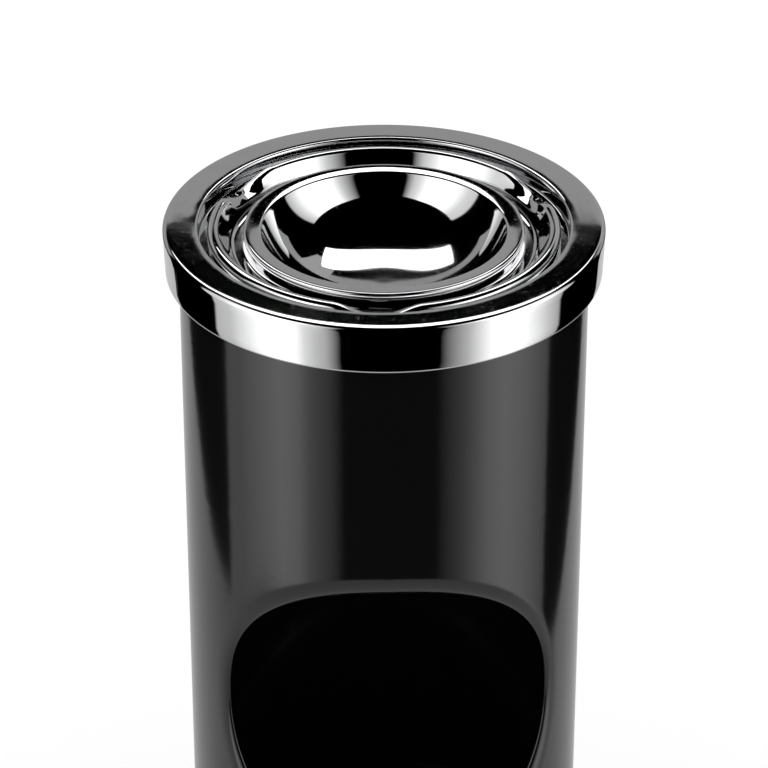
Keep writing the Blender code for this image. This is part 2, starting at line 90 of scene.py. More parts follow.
class Finish:
    # One material and its node tree.
    def __init__(self, name):
        self.material = bpy.data.materials.new(name)
        self.material.use_nodes = True
        self.tree = self.material.node_tree
        self.tree.nodes.clear()
        self.output = self.tree.nodes.new("ShaderNodeOutputMaterial")

    # Adds a node: its settings are set first, then its sockets are given values or links.
    def node(self, kind, settings=None, sockets=None, output=0):
        made = self.tree.nodes.new("ShaderNode" + kind)
        for key, value in (settings or {}).items():
            if key == "stops":
                self.setStops(made.color_ramp, value)
            else:
                setattr(made, key, value)
        for key, value in (sockets or {}).items():
            if isinstance(value, Wire):
                self.tree.links.new(value.socket, made.inputs[key])
            else:
                made.inputs[key].default_value = value
        return Wire(self, made.outputs[output])

    def setStops(self, ramp, stops):
        ramp.elements[1].position = stops[-1][0]
        ramp.elements[0].position = stops[0][0]
        for place, shade in stops[1:-1]:
            ramp.elements.new(place)
        for element, (place, shade) in zip(ramp.elements, stops):
            element.color = (shade, shade, shade, 1.0)

    # Object coordinates, stretched by a Mapping node when asked.
    def place(self, scale=(1.0, 1.0, 1.0)):
        coordinates = self.node("TexCoord", output="Object")
        return self.node("Mapping", None, {"Vector": coordinates, "Scale": scale})

    def noise(self, scale, detail=2.0, roughness=0.5, stretch=(1.0, 1.0, 1.0)):
        sockets = {"Vector": self.place(stretch), "Scale": scale, "Detail": detail, "Roughness": roughness}
        return self.node("TexNoise", None, sockets, output="Fac")

    def ramp(self, value, stops):
        return self.node("ValToRGB", {"stops": stops}, {"Fac": value})

    def blend(self, amount, first, second):
        return self.node("Mix", {"data_type": "RGBA"}, {0: amount, 6: first, 7: second}, output=2)

    def bump(self, height, distance, strength):
        return self.node("Bump", None, {"Height": height, "Distance": distance, "Strength": strength})

    def surface(self, sockets):
        shader = self.node("BsdfPrincipled", None, sockets)
        self.tree.links.new(shader.socket, self.output.inputs["Surface"])
        return self.material


# Mesh from a grid of points, rows x columns x 3. Each cell is a quad; closed rows or columns wrap round.
def gridMesh(name, points, wrapRows=False, wrapColumns=False):
    rows, columns = points.shape[:2]
    verts = points.reshape(-1, 3)
    r = np.arange(rows if wrapRows else rows - 1)[:, None]
    c = np.arange(columns if wrapColumns else columns - 1)[None, :]
    rNext = (r + 1) % rows
    cNext = (c + 1) % columns
    quads = np.stack([r * columns + c, r * columns + cNext, rNext * columns + cNext, rNext * columns + c], -1)
    return quadMesh(name, verts, quads.reshape(-1, 4))


# The winding is turned over when the sum of each quad's centre . area is negative: a closed mesh is then
# inside out, and an open one faces the origin.
def quadMesh(name, verts, quads):
    p = verts[quads]
    area = np.cross(p[:, 2] - p[:, 0], p[:, 3] - p[:, 1])
    if (p.mean(1) * area).sum() < 0:
        quads = quads[:, ::-1]
    mesh = bpy.data.meshes.new(name)
    mesh.vertices.add(len(verts))
    mesh.vertices.foreach_set("co", np.ascontiguousarray(verts, np.float32).ravel())
    mesh.loops.add(quads.size)
    mesh.loops.foreach_set("vertex_index", np.ascontiguousarray(quads, np.int32).ravel())
    mesh.polygons.add(len(quads))
    mesh.polygons.foreach_set("loop_start", np.arange(0, quads.size, 4, dtype=np.int32))
    mesh.update(calc_edges=True)
    return mesh


# Merges points that coincide, such as those at a pole or along a seam, and shades the mesh smooth.
def makePiece(name, mesh, sharpAngle=60.0):
    form = bmesh.new()
    form.from_mesh(mesh)
    bmesh.ops.remove_doubles(form, verts=form.verts, dist=1e-6)
    form.to_mesh(mesh)
    form.free()
    mesh.shade_smooth()
    mesh.set_sharp_from_angle(angle=math.radians(sharpAngle))
    piece = bpy.data.objects.new(name, mesh)
    bpy.context.scene.collection.objects.link(piece)
    return piece


# A path through corners (across, up, radius): straight runs joined by arcs tangent to both, with the
# centre on the corner's bisector at radius / sin(half the corner's angle).
def roundedPath(corners, steps=10):
    path = [np.array([corners[0][:2]])]
    for before, corner, after in zip(corners, corners[1:], corners[2:]):
        here = np.array(corner[:2])
        back = np.array(before[:2]) - here
        ahead = np.array(after[:2]) - here
        back /= np.linalg.norm(back)
        ahead /= np.linalg.norm(ahead)
        half = math.acos(np.clip(back @ ahead, -1, 1)) / 2
        radius = corner[2]
        bisector = (back + ahead) / np.linalg.norm(back + ahead)
        centre = here + bisector * radius / math.sin(half)
        start = here + back * radius / math.tan(half) - centre
        end = here + ahead * radius / math.tan(half) - centre
        turn = math.pi - 2 * half
        t = np.linspace(0, 1, steps + 1)[:, None]
        path.append(centre + (start * np.sin((1 - t) * turn) + end * np.sin(t * turn)) / math.sin(turn))
    path.append(np.array([corners[-1][:2]]))
    return np.vstack(path)


# Adds points along the straight runs of a path, so that no step is longer than the given one.
def refined(path, longest):
    pieces = []
    for start, end in zip(path, path[1:]):
        count = max(1, math.ceil(np.linalg.norm(end - start) / longest))
        pieces.append(start + (end - start) * np.linspace(0, 1, count, endpoint=False)[:, None])
    return np.vstack(pieces + [path[-1:]])


# Unit normals of a path, a quarter turn anticlockwise from its direction, lengthened at a bend so that
# the offset line keeps its distance.
def pathNormals(path):
    step = np.diff(path, axis=0)
    step /= np.linalg.norm(step, axis=1)[:, None]
    along = np.vstack([step[:1], step[:-1] + step[1:], step[-1:]])
    along /= np.linalg.norm(along, axis=1)[:, None]
    mitre = np.ones(len(path))
    mitre[1:-1] = 1 / np.maximum((along[1:-1] * step[1:]).sum(1), 0.5)
    return np.stack([-along[:, 1], along[:, 0]], 1) * mitre[:, None]


# Half circle from far to near round their middle, bulging away from the sheet's second point.
def hem(far, near, second, steps=6):
    middle = (far + near) / 2
    arm = far - middle
    side = np.array([arm[1], -arm[0]])
    side *= np.sign((middle - second) @ side)
    a = np.linspace(0, math.pi, steps + 2)[1:-1, None]
    return middle + arm * np.cos(a) + side * np.sin(a)


# Outline of a sheet: the path is one face, and the other lies thickness to its left, or to its right when
# thickness is negative. Free edges are half circles. A path that ends on the axis stays open there.
def sheetLoop(path, thickness, onAxis=False):
    far = path + pathNormals(path) * thickness
    if onAxis:
        far[-1, 0] = 0.0
        return np.vstack([far[::-1], hem(far[0], path[0], path[1]), path])
    return np.vstack([far[::-1], hem(far[0], path[0], path[1]), path, hem(path[-1], far[-1], path[-2])])


# A profile turned about Z: (r cos a, r sin a, z). A closed one wraps round its rows, and one that starts
# and ends on the axis doesn't.
def turned(name, profile, columns, onAxis=False, press=None, sharpAngle=60.0):
    a = np.repeat(np.linspace(0, 2 * math.pi, columns, endpoint=False)[None], len(profile), 0)
    r = np.repeat(profile[:, :1], columns, 1)
    z = np.repeat(profile[:, 1:], columns, 1)
    if press:
        r, z = press(r, z, a)
    points = np.stack([r * np.cos(a), r * np.sin(a), z], -1)
    return makePiece(name, gridMesh(name, points, not onAxis, True), sharpAngle)


# Smooth step from 0 at low to 1 at high: 3t^2 - 2t^3.
def smooth(value, low, high):
    t = np.clip((value - low) / (high - low), 0, 1)
    return t * t * (3 - 2 * t)


def stand(piece, body, slot, finish, *nodes):
    piece.data.materials.clear()
    piece.data.materials.append(finish)
    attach(piece, body)
    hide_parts(*nodes)
    return piece


# Stoved black enamel: a deep gloss that wanders a little, over faint orange peel.
def blackEnamel():
    enamel = {"colour": (0.0030, 0.0030, 0.0033, 1.0), "scuff": (0.0075, 0.0075, 0.0078, 1.0), "gloss": 0.085,
              "peel": 0.00004}
    finish = Finish("black_enamel")
    haze = finish.noise(26.0, 4.0, 0.6)
    fine = finish.noise(900.0, 2.0)
    scuff = finish.noise(60.0, 5.0, 0.7, (1.0, 1.0, 6.0))
    scuffed = finish.ramp(scuff, [(0.60, 0.0), (0.74, 1.0)])
    roughness = enamel["gloss"] + haze * 0.05 + scuffed * 0.05
    colour = finish.blend(scuffed * 0.35, enamel["colour"], enamel["scuff"])
    peel = finish.bump(finish.noise(210.0, 2.0) + fine * 0.15, enamel["peel"], 0.5)
    return finish.surface({"Base Color": colour, "Roughness": roughness, "Normal": peel})


# Bright chrome plate: slight haze from handling, hairline polishing marks, and the pressing's soft ripple.
def chromePlate():
    plate = {"colour": (0.62, 0.622, 0.628, 1.0), "stain": (0.50, 0.502, 0.505, 1.0), "gloss": 0.028,
             "ripple": 0.00006}
    finish = Finish("chrome_plate")
    haze = finish.noise(34.0, 5.0, 0.65)
    smudge = finish.ramp(finish.noise(15.0, 3.0, 0.6), [(0.52, 0.0), (0.70, 1.0)])
    hairline = finish.ramp(finish.noise(420.0, 2.0, 0.5, (1.0, 1.0, 0.06)), [(0.62, 0.0), (0.72, 1.0)])
    colour = finish.blend(smudge * 0.35 + hairline * 0.12, plate["colour"], plate["stain"])
    roughness = plate["gloss"] + haze * 0.022 + smudge * 0.035 + hairline * 0.05
    wave = finish.bump(finish.noise(48.0, 1.0), plate["ripple"], 0.6)
    return finish.surface({"Base Color": colour, "Metallic": 1.0, "Roughness": roughness, "Normal": wave})


# Hot-dip zinc: crystals of several greys, each with its own gloss, and the odd dull run.
def zincSheet():
    zinc = {"crystal": 95.0, "light": (0.66, 0.68, 0.70, 1.0), "dark": (0.40, 0.42, 0.44, 1.0),
            "dull": (0.42, 0.43, 0.43, 1.0), "gloss": 0.30}
    finish = Finish("zinc_sheet")
    wander = finish.node("TexNoise", None, {"Vector": finish.place(), "Scale": 80.0}, "Color")
    bent = finish.node("VectorMath", {"operation": "ADD"}, {0: finish.place(), 1: wander})
    cells = finish.node("TexVoronoi", None, {"Vector": bent, "Scale": zinc["crystal"]}, "Color")
    grey = finish.node("SeparateColor", None, {"Color": cells}, "Red")
    haze = finish.noise(300.0, 3.0)
    dull = finish.ramp(finish.noise(9.0, 4.0, 0.6, (1.0, 1.0, 0.4)), [(0.5, 0.0), (0.75, 1.0)])
    colour = finish.blend(grey, zinc["dark"], zinc["light"])
    colour = finish.blend(dull * 0.5, colour, zinc["dull"])
    roughness = zinc["gloss"] + grey * 0.14 + haze * 0.06 + dull * 0.15
    relief = finish.bump(grey + haze * 0.4, 0.00005, 0.6)
    return finish.surface({"Base Color": colour, "Metallic": 1.0, "Roughness": roughness, "Normal": relief})


# Drawn or rolled spring steel: streaks along the grain, blued a little by its heat treatment.
def springSteel(name, grain):
    steel = {"bright": (0.42, 0.43, 0.45, 1.0), "dark": (0.24, 0.25, 0.29, 1.0), "gloss": 0.24}
    finish = Finish(name)
    streak = finish.noise(500.0, 3.0, 0.6, grain)
    blot = finish.ramp(finish.noise(40.0, 4.0), [(0.4, 0.0), (0.7, 1.0)])
    colour = finish.blend(streak * 0.7 + blot * 0.3, steel["bright"], steel["dark"])
    roughness = steel["gloss"] + streak * 0.16 + blot * 0.08
    relief = finish.bump(streak, 0.00003, 0.5)
    return finish.surface({"Base Color": colour, "Metallic": 1.0, "Roughness": roughness, "Normal": relief})


# Moulded rubber: dull, with a pebbled skin and grey bloom.
def mouldedRubber():
    rubber = {"colour": (0.016, 0.016, 0.017, 1.0), "bloom": (0.05, 0.05, 0.052, 1.0), "gloss": 0.58}
    finish = Finish("moulded_rubber")
    pebble = finish.noise(1300.0, 2.0, 0.6)
    bloom = finish.ramp(finish.noise(30.0, 5.0, 0.7), [(0.45, 0.0), (0.75, 1.0)])
    colour = finish.blend(bloom * 0.6, rubber["colour"], rubber["bloom"])
    roughness = rubber["gloss"] + bloom * 0.18 + pebble * 0.08
    relief = finish.bump(pebble, 0.00008, 0.7)
    return finish.surface({"Base Color": colour, "Roughness": roughness, "Normal": relief})


enamelFinish = blackEnamel()
chromeFinish = chromePlate()
zincFinish = zincSheet()
wireFinish = springSteel("drawn_wire", (1.0, 1.0, 1.0))
stripFinish = springSteel("spring_strip", (1.0, 1.0, 0.05))
rubberFinish = mouldedRubber()
print("finishes ready")


# The tube. Its front is a patch round the opening, and the rest is a plain cylinder.
tube = {
    "wall": 0.0010,
    "openingWidth": 0.161,
    "openingHeight": 0.170,
    "openingBelowTop": 0.157,
    "roundness": 2.3,
    "lipAbove": 0.0140,      # how far the pressed lip reaches out from the opening, above and below
    "lipBeside": 0.0075,     # and at its sides
    "lipDepth": 0.0060,
    "patchAngle": 66.0,      # half the patch's width, in degrees round the tube
    "patchMargin": 0.027,    # how far the patch reaches above and below the opening
    "sideSteps": 96,
}


# Distance from the opening's middle to its outline in direction a: (|cos a / half width|^n + |sin a / half
# height|^n)^(-1/n).
def outlineReach(a, halfWidth, halfHeight):
    n = tube["roundness"]
    return (np.abs(np.cos(a) / halfWidth) ** n + np.abs(np.sin(a) / halfHeight) ** n) ** (-1 / n)


# On the cylinder a point at (across, up) has depth -sqrt(radius^2 - across^2). The patch runs from its
# rectangle to the lip's outline along lines from the middle, even in angle round the tube, then over the lip:
# at angle q from 0 to 90 degrees it is sin q of the way to the opening and (1 - cos q) of the lip's depth in.
def openingPatch(radius, middle):
    s = tube["sideSteps"]
    edge = np.linspace(-1, 1, s + 1)[:-1]
    one = np.ones(s)
    corners = np.concatenate([np.stack([edge, -one], 1), np.stack([one, edge], 1),
                              np.stack([-edge, one], 1), np.stack([-one, -edge], 1)])
    angle = np.radians(tube["patchAngle"])
    halfPatch = tube["openingHeight"] / 2 + tube["patchMargin"]
    around = corners[:, 0] * angle
    up = corners[:, 1] * halfPatch
    a = np.arctan2(up, radius * np.sin(around))
    inner = outlineReach(a, tube["openingWidth"] / 2, tube["openingHeight"] / 2)
    outer = outlineReach(a, tube["openingWidth"] / 2 + tube["lipBeside"],
                         tube["openingHeight"] / 2 + tube["lipAbove"])
    t = np.linspace(0, 1, 15)[:, None] ** 0.8
    aroundRows = around * (1 - t) + np.arcsin(outer * np.cos(a) / radius) * t
    upRows = up * (1 - t) + outer * np.sin(a) * t
    flat = np.stack([radius * np.sin(aroundRows), -radius * np.cos(aroundRows), middle + upRows], -1)
    q = np.radians(np.linspace(0, 90, 25))[1:, None]
    reach = outer * (1 - np.sin(q)) + inner * np.sin(q)
    across = reach * np.cos(a)
    deep = -np.sqrt(radius ** 2 - across ** 2) + tube["lipDepth"] * (1 - np.cos(q))
    lip = np.stack([across, deep, middle + reach * np.sin(a)], -1)
    return gridMesh("opening", np.concatenate([flat, lip]), False, True)


# The plain parts of the cylinder, with rows and columns that meet the patch's rectangle.
def tubeRemainder(radius, low, high, middle):
    angle = np.radians(tube["patchAngle"])
    halfPatch = tube["openingHeight"] / 2 + tube["patchMargin"]
    s = tube["sideSteps"]
    front = np.linspace(-angle, angle, s + 1)
    back = np.linspace(angle, 2 * math.pi - angle, 131)
    beside = middle + np.linspace(-halfPatch, halfPatch, s + 1)
    meshes = []
    for rows, columns in ((np.linspace(low, middle - halfPatch, 30), np.concatenate([front[:-1], back])),
                          (np.linspace(middle + halfPatch, high, 22), np.concatenate([front[:-1], back])),
                          (beside, back)):
        c, r = np.meshgrid(columns, rows)
        points = np.stack([radius * np.sin(c), -radius * np.cos(c), r], -1)
        meshes.append(gridMesh("tube", points))
    return meshes


def bodyTube():
    lo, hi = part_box("body_shell")
    radius = hi.x
    top = cadBounds[1].z
    middle = top - tube["openingBelowTop"] - tube["openingHeight"] / 2
    form = bmesh.new()
    for mesh in [openingPatch(radius, middle)] + tubeRemainder(radius, lo.z, hi.z, middle):
        form.from_mesh(mesh)
        bpy.data.meshes.remove(mesh)
    mesh = bpy.data.meshes.new("bodyTube")
    form.to_mesh(mesh)
    form.free()
    piece = makePiece("bodyTube", mesh, 180.0)
    wall = piece.modifiers.new("wall", "SOLIDIFY")
    wall.thickness = tube["wall"]
    wall.offset = -1.0
    wall.use_even_offset = True
    return stand(piece, "bin", "black_paint", enamelFinish, "body_shell")


bodyTube()
print("tube made")


# The chromed collar: tapered skirt, flat top, a step down and the ledge that the tray sits on.
collar = {
    "wall": 0.0010,
    "taper": 0.0010,
    "turnIn": 0.0024,        # how far the skirt's foot turns in towards the tube
    "footRounding": 0.0016,
    "edge": 0.0022,
    "neck": 0.0925,
    "step": 0.0085,
    "stepRounding": 0.0013,
    "ledgeInner": 0.0808,
    "hem": 0.0060,
}


def collarRing():
    lo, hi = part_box("collar")
    ledge = hi.z - collar["step"]
    foot = hi.x - collar["taper"]
    corners = [(foot - collar["turnIn"], lo.z), (foot, lo.z, collar["footRounding"]),
               (hi.x, hi.z, collar["edge"]),
               (collar["neck"], hi.z, collar["stepRounding"]), (collar["neck"], ledge, 0.0010),
               (collar["ledgeInner"], ledge, 0.0015), (collar["ledgeInner"], ledge - collar["hem"])]
    profile = sheetLoop(refined(roundedPath(corners), 0.004), collar["wall"])
    profile[:, 1] = np.maximum(profile[:, 1], lo.z)
    piece = turned("collarRing", profile, 360)
    return stand(piece, "collar", "chrome", chromeFinish, "collar")


# The ash tray: rolled lip, sloping wall, round-bottomed trough and the upturned rim of its hole.
tray = {
    "wall": 0.0010,
    "lipRoll": 0.0031,
    "lipInner": 0.0829,
    "wallFoot": 0.0762,
    "wallRounding": 0.0036,
    "hole": 0.0684,
    "holeRounding": 0.0022,
    "troughDepth": 0.0115,
    "seatBelowTop": 0.0033,
    "restPress": 0.80,       # share of the lip's height that a rest takes away
    "restTurn": -94.0,       # degrees; the first rest is at the front
    "restHalfAngle": 16.0,
}


# How deep the rests are at angle a: 0.5 + 0.5 cos over each one's width, widened to a rounded channel.
def restDip(a):
    third = 2 * math.pi / 3
    away = np.abs((a - np.radians(tray["restTurn"]) + third / 2) % third - third / 2)
    t = np.clip(away / np.radians(tray["restHalfAngle"]), 0, 1)
    return 0.5 + 0.5 * np.cos(math.pi * t)


def ashTray():
    lo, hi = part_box("ash_tray")
    bottomEdge = cadBounds[1].z - collar["step"] + gap
    trough = hi.z - tray["troughDepth"]

    # Heights above the lip's lower edge shrink by the press at each rest.
    def pressRests(r, z, a):
        over = np.maximum(z - bottomEdge, 0)
        return r, z - over * tray["restPress"] * restDip(a)

    corners = [(hi.x, bottomEdge), (hi.x, hi.z, tray["lipRoll"]),
               (tray["lipInner"], hi.z, tray["lipRoll"] * 0.8),
               (tray["wallFoot"], trough, tray["wallRounding"]), (tray["hole"], trough, tray["holeRounding"]),
               (tray["hole"], hi.z - tray["seatBelowTop"])]
    profile = sheetLoop(refined(roundedPath(corners, 14), 0.0012), tray["wall"])
    profile[:, 1] = np.maximum(profile[:, 1], lo.z)
    piece = turned("ashTray", profile, 480, press=pressRests)
    return stand(piece, "tray", "chrome", chromeFinish, "ash_tray")


# The ash bowl: a bead over the tray's rim, a wide rim that falls a little inwards, and the dish.
bowl = {
    "wall": 0.0010,
    "beadDrop": 0.0030,
    "bead": 0.0013,
    "mouth": 0.0613,
    "mouthRounding": 0.0016,
    "depth": 0.0297,
    "rimFall": 0.0005,
    "dishShare": 0.76,
}


# Height over the bowl's middle at a share t of its radius: depth * (k t^3 + (1 - k) t^9), k being dishShare.
def bowlRise(t):
    k = bowl["dishShare"]
    return (bowl["depth"] - bowl["rimFall"]) * (k * t ** 3 + (1 - k) * t ** 9)


# The rim falls by rimFall * u^2, where u runs from 0 at the bead to 1 at the mouth.
def ashBowl():
    lo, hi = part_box("ash_bowl")
    t = np.linspace(0.98, 0.0, 90)
    dish = np.stack([bowl["mouth"] * t, hi.z - bowl["depth"] + bowlRise(t)], 1)
    edge = roundedPath([(hi.x, hi.z - bowl["beadDrop"]), (hi.x, hi.z, bowl["bead"]),
                        (hi.x - 2 * bowl["bead"], hi.z)])[:-1]
    u = np.linspace(0, 0.8, 12)
    start = edge[-1, 0]
    width = start - bowl["mouth"]
    rim = np.stack([start - width * u, hi.z - bowl["rimFall"] * u ** 2], 1)
    mouth = roundedPath([tuple(rim[-1]), (bowl["mouth"], hi.z - bowl["rimFall"], bowl["mouthRounding"]),
                         tuple(dish[0])], 14)
    path = np.vstack([edge, rim[1:-1], mouth, dish[1:]])
    profile = sheetLoop(path, bowl["wall"], onAxis=True)
    profile[:, 1] = np.maximum(profile[:, 1], lo.z)
    piece = turned("ashBowl", profile, 300, onAxis=True)
    return stand(piece, "bowl", "chrome", chromeFinish, "ash_bowl")


collarRing()
ashTray()
ashBowl()
print("collar, tray and bowl made")


# Inside and under the tube: the base pan, its rivets and the rubber floor ring.
base = {
    "panWall": 0.0010,
    "panFillet": 0.0040,
    "rivetCount": 6,
    "rivetShank": 0.0020,
    "rivetHead": 0.0040,
    "rivetDome": 0.0012,
    "ringLeg": 0.0022,
    "ringBase": 0.0030,
    "ringEase": 0.0008,
    "ringTip": 0.0005,       # rounding of the legs' tips, on the tube's side
    "ringCorner": 0.0004,    # and of the corners between the legs
}


def basePan():
    lo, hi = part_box("base_pan")
    corners = [(hi.x, hi.z), (hi.x, lo.z, base["panFillet"]), (0.0, lo.z)]
    path = refined(roundedPath(corners, 8), 0.004)
    profile = sheetLoop(path, -base["panWall"], onAxis=True)
    profile[:, 1] = np.minimum(profile[:, 1], hi.z)
    piece = turned("basePan", profile, 180, onAxis=True)
    return stand(piece, "bin", "black_paint", enamelFinish, "base_pan")


def floorRing():
    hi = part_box("floor_ring")[1]
    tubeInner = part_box("body_shell")[1].x - tube["wall"]
    legInner = tubeInner - gap - base["ringLeg"]
    ease = base["ringEase"]
    tip = base["ringTip"]
    corner = base["ringCorner"]
    start = (legInner, 2 * base["ringBase"])
    corners = [start, (legInner, 0.0, ease), (hi.x, 0.0, ease), (hi.x, hi.z, ease),
               (hi.x - base["ringLeg"], hi.z, tip), (hi.x - base["ringLeg"], base["ringBase"], corner),
               (tubeInner - gap, base["ringBase"], corner), (tubeInner - gap, hi.z, tip),
               (legInner, hi.z, ease), start]
    profile = refined(roundedPath(corners, 5), 0.003)[:-1]
    piece = turned("floorRing", profile, 240)
    return stand(piece, "bin", "black_rubber", rubberFinish, "floor_ring")


# How far a CAD node reaches along a direction: the least and the greatest of its points . direction.
def nodeReach(node, direction):
    co = np.empty(len(cadNodes[node].data.vertices) * 3, np.float32)
    cadNodes[node].data.vertices.foreach_get("co", co)
    reach = co.reshape(-1, 3) @ direction
    return reach.min(), reach.max()


# A rivet on a line out from the axis: distances along it by radii from it, outer head first. The outer head
# is a cap of height dome * (1 - (r / head)^2).
def rivet(name, node, body, slot, finish, shank, head, dome):
    lo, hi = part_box(node)
    centre = (lo + hi) / 2
    angle = math.atan2(centre.y, centre.x)
    out = np.array([math.cos(angle), math.sin(angle), 0.0])
    side = np.array([-math.sin(angle), math.cos(angle), 0.0])
    up = np.array([0.0, 0.0, 1.0])
    inner, outer = nodeReach(node, out)
    r = np.linspace(0, 1, 9) * head
    cap = np.stack([r, outer - dome * (r / head) ** 2], 1)
    closing = dome * 0.6
    tail = np.array([[shank, outer - dome], [shank, inner + closing], [head * 0.8, inner + closing],
                     [head * 0.74, inner + closing * 0.2], [head * 0.6, inner], [0.0, inner]])
    profile = np.vstack([cap, tail])
    a = np.linspace(0, 2 * math.pi, 28, endpoint=False)[None, :, None]
    ring = side * np.cos(a) + up * np.sin(a)
    points = out * profile[:, 1, None, None] + ring * profile[:, 0, None, None] + up * centre.z
    piece = makePiece(name, gridMesh(name, points, False, True), 50.0)
    return stand(piece, body, slot, finish, node)


basePan()
floorRing()
for number in range(1, base["rivetCount"] + 1):
    rivet(f"baseRivet{number}", f"base_rivet_{number}", "bin", "black_paint", enamelFinish,
          base["rivetShank"], base["rivetHead"], base["rivetDome"])
print("base made")


# Spring clips behind the collar: a leg on the neck, a bend, and a bowed leg that bears on the tube.
clips = {"width": 0.0140, "thickness": 0.0006, "length": 0.0260, "bow": 0.006, "count": 4}


# A strip: the sheet's outline carried across its width, thinned to nothing at each side along a half circle.
def strip(name, path, width, thickness, angle):
    normals = pathNormals(path)
    q = np.radians(np.linspace(-90, 90, 7))
    across = np.concatenate([-(width / 2 - thickness / 2) + thickness / 2 * np.sin(q[:4]),
                             (width / 2 - thickness / 2) + thickness / 2 * np.sin(q[3:])])
    share = np.concatenate([np.cos(q[:4]), np.cos(q[3:])])
    outline = np.stack([path[None] + normals[None] * thickness / 2 * share[:, None, None],
                        path[None] - normals[None] * thickness / 2 * share[:, None, None]])
    loop = np.concatenate([outline[0], outline[1][:, ::-1]], 1)
    out = np.array([math.cos(angle), math.sin(angle), 0.0])
    side = np.array([-math.sin(angle), math.cos(angle), 0.0])
    points = (out * loop[..., :1] + np.array([0.0, 0.0, 1.0]) * loop[..., 1:]
              + side * across[:, None, None])
    return makePiece(name, gridMesh(name, points, False, True), 60.0)


def collarClip(number):
    node = f"collar_clip_{number}"
    angle = 2 * math.pi / clips["count"] * (number - 0.5)
    nearest, farthest = nodeReach(node, np.array([math.cos(angle), math.sin(angle), 0.0]))
    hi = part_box(node)[1]
    half = clips["thickness"] / 2
    inner = nearest + half
    outer = farthest - half
    bend = (outer - inner) * 0.35
    low = hi.z - clips["length"]
    corners = [(inner, hi.z), (inner, low - bend, bend * 0.9), (inner + 2 * bend, low - bend, bend * 0.9),
               (outer, low + clips["length"] * 0.5, clips["bow"]),
               (outer - bend * 0.5, low + clips["length"] * 0.85)]
    path = refined(roundedPath(corners, 10), 0.0015)
    piece = strip(f"collarClip{number}", path, clips["width"], clips["thickness"], angle)
    return stand(piece, "collar", "spring_steel", stripFinish, node)


for number in range(1, clips["count"] + 1):
    collarClip(number)
print("clips made")


# The liner bucket: straight wall with two rolled beads, a curled rim, a base let in, ears and a bail.
liner = {
    "wall": 0.0008,
    "curl": 0.0020,
    "beadHeights": (0.045, 0.115),   # above the bucket's foot
    "beadWidth": 0.0040,
    "beadHeight": 0.0009,
    "flange": 0.0050,
    "baseFillet": 0.0020,
    "earShoulder": 0.84,     # rounding of an ear's upper corners, as a share of its half width
    "earCorner": 0.0030,
    "earEase": 0.0003,
    "eye": 0.0023,
    "rivetCount": 4,
    "rivetShank": 0.0016,
    "rivetHead": 0.0030,
    "rivetDome": 0.0008,
    "wire": 0.0020,
    "bend": 0.0030,
}


# Wall radius at height z, with a cosine swell at each bead; then the rim's curl, an arc of 240 degrees.
def linerBucket():
    lo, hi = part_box("liner_bucket")
    curl = liner["curl"]
    wall = liner["wall"]
    middleRadius = hi.x - 2 * curl - wall / 2
    z = np.arange(lo.z, hi.z - curl - wall / 2, 0.0008)
    swell = np.zeros_like(z)
    for height in liner["beadHeights"]:
        t = np.clip((z - lo.z - height) / liner["beadWidth"], -1, 1)
        swell += liner["beadHeight"] * (0.5 + 0.5 * np.cos(math.pi * t))
    straight = np.stack([middleRadius + swell, z], 1)
    a = np.radians(np.linspace(180, -60, 28))
    arcMiddle = hi.z - curl - wall / 2
    rim = np.stack([middleRadius + curl + curl * np.cos(a), arcMiddle + curl * np.sin(a)], 1)
    path = np.vstack([straight, rim])
    profile = sheetLoop(path + pathNormals(path) * (-wall / 2), wall)
    profile[:, 1] = np.clip(profile[:, 1], lo.z, hi.z)
    profile[:, 0] = np.minimum(profile[:, 0], hi.x)
    piece = turned("linerBucket", profile, 240)
    return stand(piece, "liner", "galvanised", zincFinish, "liner_bucket")


def linerBase():
    lo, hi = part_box("liner_base")
    corners = [(hi.x, lo.z), (hi.x, hi.z, liner["baseFillet"]), (0.0, hi.z)]
    profile = sheetLoop(refined(roundedPath(corners, 8), 0.004), liner["wall"], onAxis=True)
    profile[:, 1] = np.clip(profile[:, 1], lo.z, hi.z)
    piece = turned("linerBase", profile, 180, onAxis=True)
    return stand(piece, "liner", "galvanised", zincFinish, "liner_base")


def pivotHeight():
    return next(j for j in frame["joints"] if j["name"] == "bail_hinge")["pos_m"][2]


# An ear is a plate with an eye: each ray from the eye's middle crosses the eye's edge and the outline, and
# the plate's section between them has its corners eased.
def bailEar(name, node):
    lo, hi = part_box(node)
    pivot = pivotHeight()
    halfWidth = (hi.y - lo.y) / 2
    shoulder = halfWidth * liner["earShoulder"]
    corner = liner["earCorner"]
    start = (-halfWidth, (lo.z + hi.z) / 2)
    plate = roundedPath([start, (-halfWidth, hi.z, shoulder), (halfWidth, hi.z, shoulder),
                         (halfWidth, lo.z, corner), (-halfWidth, lo.z, corner), start], 12)
    outline = refined(plate, 0.0012)[:-1] - np.array([0.0, pivot])
    length = np.linalg.norm(outline, axis=1)
    ray = outline / length[:, None]
    ease = liner["earEase"]
    depth = hi.x - lo.x
    eye = np.full_like(length, liner["eye"])
    halfway = (length + eye) / 2
    rows = [(eye, ease), (eye + ease, 0.0), (halfway, 0.0), (length - ease, 0.0), (length, ease),
            (length, depth - ease), (length - ease, depth), (halfway, depth), (eye + ease, depth),
            (eye, depth - ease)]
    points = np.stack([np.stack([np.full_like(r, lo.x + d), ray[:, 0] * r, pivot + ray[:, 1] * r], -1)
                       for r, d in rows])
    piece = makePiece(name, gridMesh(name, points, True, True), 35.0)
    return stand(piece, "liner", "galvanised", zincFinish, node)


